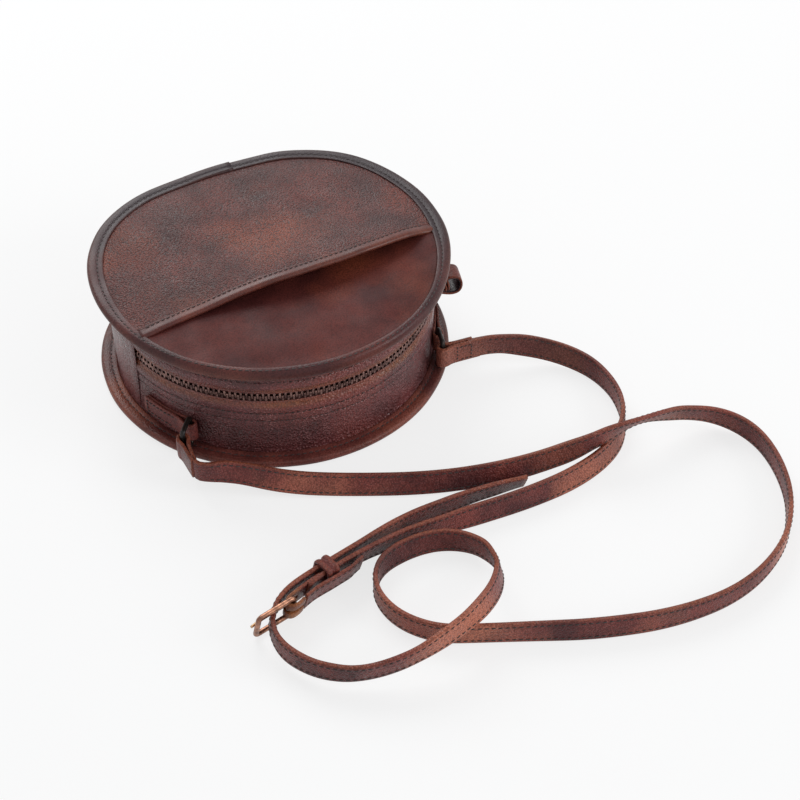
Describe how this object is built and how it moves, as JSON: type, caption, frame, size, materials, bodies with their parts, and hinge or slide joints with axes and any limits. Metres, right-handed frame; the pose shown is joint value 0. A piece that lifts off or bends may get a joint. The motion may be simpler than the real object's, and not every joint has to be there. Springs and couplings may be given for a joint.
{
  "type": "round leather shoulder bag",
  "caption": "Round dark brown leather shoulder bag lying on its back: zipped top, front slip pocket, bound edges, wire rings and a buckled strap laid out in front.",
  "frame": {"origin": "on the resting plane, under the centre of the zip's arc", "axes": "+Z out of the bag's face, -Y to the worn top with the zip, +X to the ring on the right"},
  "size_m": [0.3012, 0.3691, 0.0723],
  "materials": {
    "bag_leather": "pebbled, burnished in patches",
    "binding_leather": "smooth, satin",
    "strap_leather": "smooth with raw orange edges",
    "lining_fabric": "woven, matte",
    "zip_tape": "woven, matte",
    "zip_metal": "aged, satin",
    "ring_metal": "black, satin",
    "buckle_metal": "copper tone, worn"
  },
  "bodies": {
    "bag": {"back_panel": "bag_leather", "front_panel": "bag_leather", "front_pocket": "bag_leather", "bottom_gusset": "bag_leather", "zip_gusset_back": "bag_leather", "zip_gusset_front_ends": "bag_leather", "pocket_trim": "bag_leather", "left_tab": "bag_leather", "right_tab": "bag_leather", "grip_loop": "bag_leather", "back_binding": "binding_leather", "front_binding": "binding_leather", "long_strap": "strap_leather", "short_strap": "strap_leather", "back_lining": "lining_fabric", "gusset_lining": "lining_fabric", "front_lining": "lining_fabric", "zip_tape_back": "zip_tape", "zip_tape_front_ends": "zip_tape", "zip_teeth_back": "zip_metal", "zip_teeth_front_ends": "zip_metal", "zip_stops": "zip_metal", "buckle_frame": "buckle_metal"},
    "mouth_flap": {"front_panel_flap": "bag_leather", "front_binding_flap": "binding_leather", "front_lining_flap": "lining_fabric", "zip_gusset_front_flap": "bag_leather", "zip_tape_front_flap": "zip_tape", "zip_teeth_front_flap": "zip_metal"},
    "zip_slider": {"zip_slider": "zip_metal"},
    "zip_pull": {"zip_pull": "zip_metal", "pull_tab": "bag_leather"},
    "left_ring": {"left_ring": "ring_metal", "long_strap_loop": "strap_leather"},
    "right_ring": {"right_ring": "ring_metal", "short_strap_loop": "strap_leather"},
    "buckle_prong": {"buckle_prong": "buckle_metal"},
    "keeper": {"keeper": "strap_leather"}
  },
  "joints": [
    {"name": "mouth_lift", "type": "hinge", "parent": "bag", "child": "mouth_flap", "pos_m": [0, -0.036, 0.071], "axis": [-1, 0, 0], "range_deg": [0, 35]},
    {"name": "zip_run", "type": "hinge", "parent": "bag", "child": "zip_slider", "pos_m": [0, 0, 0.044], "axis": [0, 0, -1], "range_deg": [0, 152]},
    {"name": "pull_flip", "type": "hinge", "parent": "zip_slider", "child": "zip_pull", "pos_m": [0.09121, -0.02274, 0.044], "axis": [0, 0, 1], "range_deg": [0, 160]},
    {"name": "left_ring_swing", "type": "hinge", "parent": "bag", "child": "left_ring", "pos_m": [-0.07597, -0.05519, 0.0156], "axis": [0, 0, -1], "range_deg": [0, 35]},
    {"name": "right_ring_swing", "type": "hinge", "parent": "bag", "child": "right_ring", "pos_m": [0.07597, -0.05519, 0.0156], "axis": [0, 0, -1], "range_deg": [0, 20]},
    {"name": "prong_swing", "type": "hinge", "parent": "bag", "child": "buckle_prong", "pos_m": [-0.0795, -0.1875, 0.0103], "axis": [0, 0, -1], "range_deg": [0, 12]},
    {"name": "keeper_slide", "type": "slide", "parent": "bag", "child": "keeper", "axis": [0.9816, 0.1908, 0], "range_m": [-0.004, 0.006]}
  ]
}
